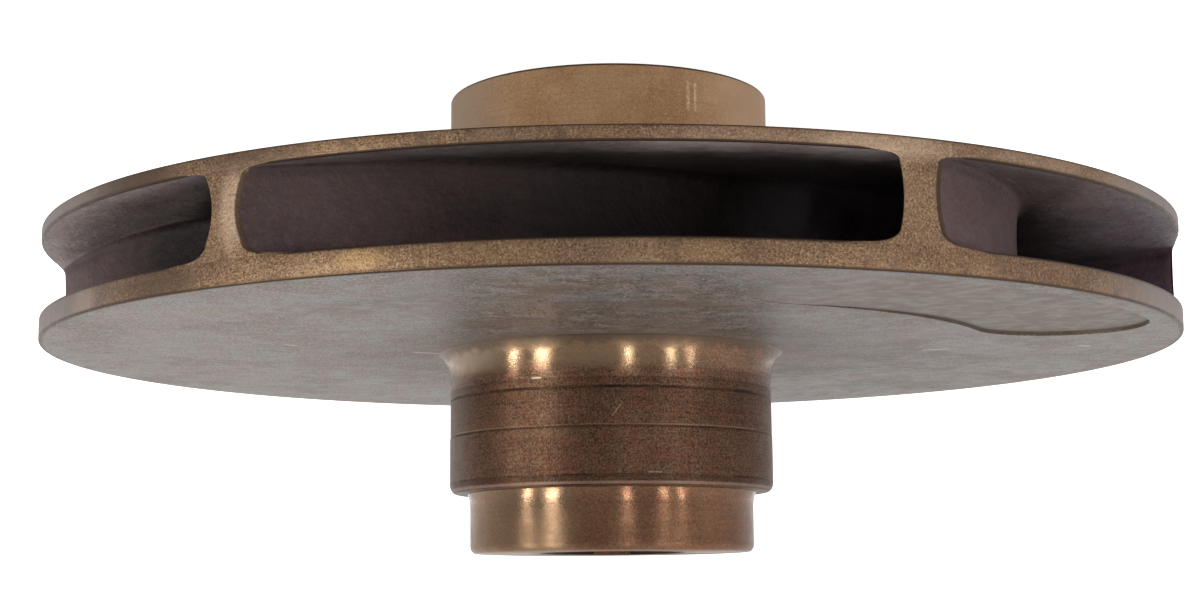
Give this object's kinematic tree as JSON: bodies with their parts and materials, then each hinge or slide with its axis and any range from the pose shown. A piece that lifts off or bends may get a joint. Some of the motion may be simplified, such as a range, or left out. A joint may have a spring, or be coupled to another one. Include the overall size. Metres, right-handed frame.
{
  "type": "closed pump impeller",
  "caption": "Closed radial pump impeller in cast bronze: two shrouds with curved vanes between them, a suction ring and a stepped, bored shaft hub.",
  "frame": {"origin": "centre of the suction ring's end face, which the part stands on", "axes": "+Z along the shaft axis from the suction side to the hub end; +Y towards the keyway"},
  "size_m": [0.1778, 0.1778, 0.0732],
  "materials": {
    "cast_bronze": "sand cast and skimmed, dull tan, fine grain",
    "passage_bronze": "as cast, dark brown-grey, rough",
    "tarnished_bronze": "faced and tarnished to a mottled grey",
    "turned_bronze": "turned and oil-darkened, semi-bright"
  },
  "bodies": {
    "root": {"suction_ring": "cast_bronze", "front_shroud": "cast_bronze", "vane_1": "passage_bronze", "vane_2": "passage_bronze", "vane_3": "passage_bronze", "vane_4": "passage_bronze", "vane_5": "passage_bronze", "vane_6": "passage_bronze", "back_shroud": "tarnished_bronze", "hub_nose": "passage_bronze", "hub": "turned_bronze", "hub_spigot": "turned_bronze"}
  },
  "joints": []
}
